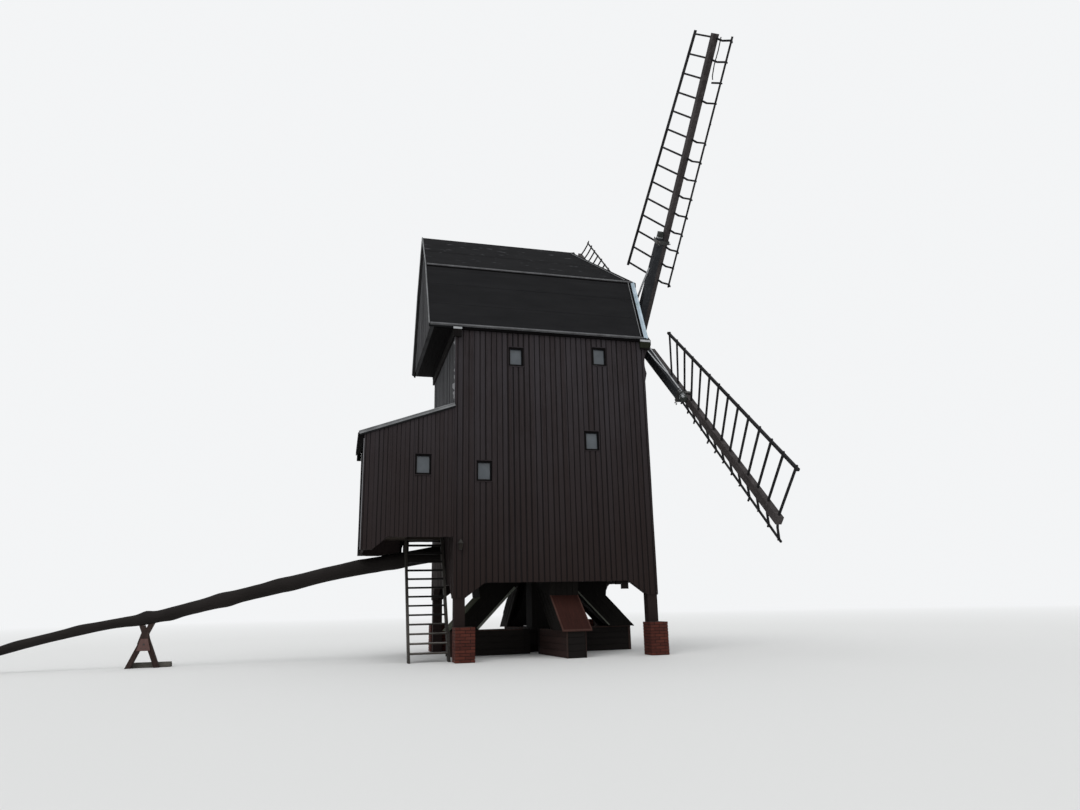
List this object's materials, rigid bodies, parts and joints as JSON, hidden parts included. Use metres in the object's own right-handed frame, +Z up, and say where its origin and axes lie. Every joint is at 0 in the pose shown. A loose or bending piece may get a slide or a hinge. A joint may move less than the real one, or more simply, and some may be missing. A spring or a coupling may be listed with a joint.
{
  "type": "traditional post windmill",
  "caption": "Boarded timber post mill on a trestle, with lattice sails on a turning shaft, a rear stair porch and a long tail pole.",
  "frame": {"origin": "on the ground, on the underside of the front crosstree's casing, in the mill's middle plane", "axes": "+X from the tail pole towards the sails, +Y across the mill, +Z up"},
  "size_m": [19.462, 15.6616, 17.5108],
  "materials": {
    "dark_boards": "weathered dark stain",
    "grey_boards": "bare weathered",
    "structure_timber": "dark oak",
    "strut_boards": "red-brown stain",
    "pier_boards": "brown stain",
    "floor_boards": "bare",
    "stair_timber": "worn",
    "brick": "red brick",
    "window_timber": "dark paint",
    "pane": "clear",
    "roof_felt": "mineral felt",
    "zinc": "weathered sheet",
    "edge_metal": "weathered rolled sheet",
    "lamp_metal": "matt",
    "pole_timber": "bare trunk",
    "sail_timber": "dark stain",
    "stock_timber": "blue-grey stain",
    "iron": "rusty"
  },
  "bodies": {
    "mill": {"brick_piers": "brick", "corner_haunches": "dark_boards", "corner_posts": "dark_boards", "cross_beams": "structure_timber", "crosstree_crosswise": "structure_timber", "crosstree_lengthwise": "structure_timber", "crown_tree": "structure_timber", "front_gable_sides": "dark_boards", "front_gable_top": "dark_boards", "front_verge_strips": "zinc", "front_wall": "dark_boards", "lower_floor": "floor_boards", "main_post": "structure_timber", "pole_trestle": "pole_timber", "porch_floor": "floor_boards", "porch_roof": "roof_felt", "porch_wall_far": "dark_boards", "porch_wall_near": "dark_boards", "porch_wall_outer": "dark_boards", "quarter_bars": "structure_timber", "rear_gable": "dark_boards", "rear_skirt": "dark_boards", "rear_soffit": "dark_boards", "rear_wall_over_door": "grey_boards", "rear_walls": "grey_boards", "roof_edge_strips": "edge_metal", "roof_hip": "roof_felt", "roof_lower_slopes": "roof_felt", "roof_upper_far": "roof_felt", "roof_upper_near": "roof_felt", "shaft_bearings": "structure_timber", "sheers": "structure_timber", "side_wall_far": "dark_boards", "side_wall_near": "dark_boards", "stair_stringers": "stair_timber", "stair_treads": "stair_timber", "strut_covers": "strut_boards", "tail_pole": "pole_timber", "tail_pole_bolster": "structure_timber", "trestle_piers": "pier_boards", "trestle_sill": "pole_timber", "upper_floor": "floor_boards", "wall_lamp": "lamp_metal", "wall_plates": "structure_timber", "weather_beam_brackets": "dark_boards", "window_frames": "window_timber", "window_panes": "pane"},
    "sails": {"windshaft": "stock_timber", "sail_stocks": "stock_timber", "sail_whips": "sail_timber", "stock_clamps": "iron", "sail_lattice_a": "sail_timber", "sail_lattice_b": "sail_timber", "sail_lattice_c": "sail_timber", "sail_lattice_d": "sail_timber"}
  },
  "joints": [
    {"name": "sails_turn", "type": "hinge", "parent": "mill", "child": "sails", "pos_m": [1.915, 0, 9.68], "axis": [1, 0, 0], "continuous": true}
  ]
}
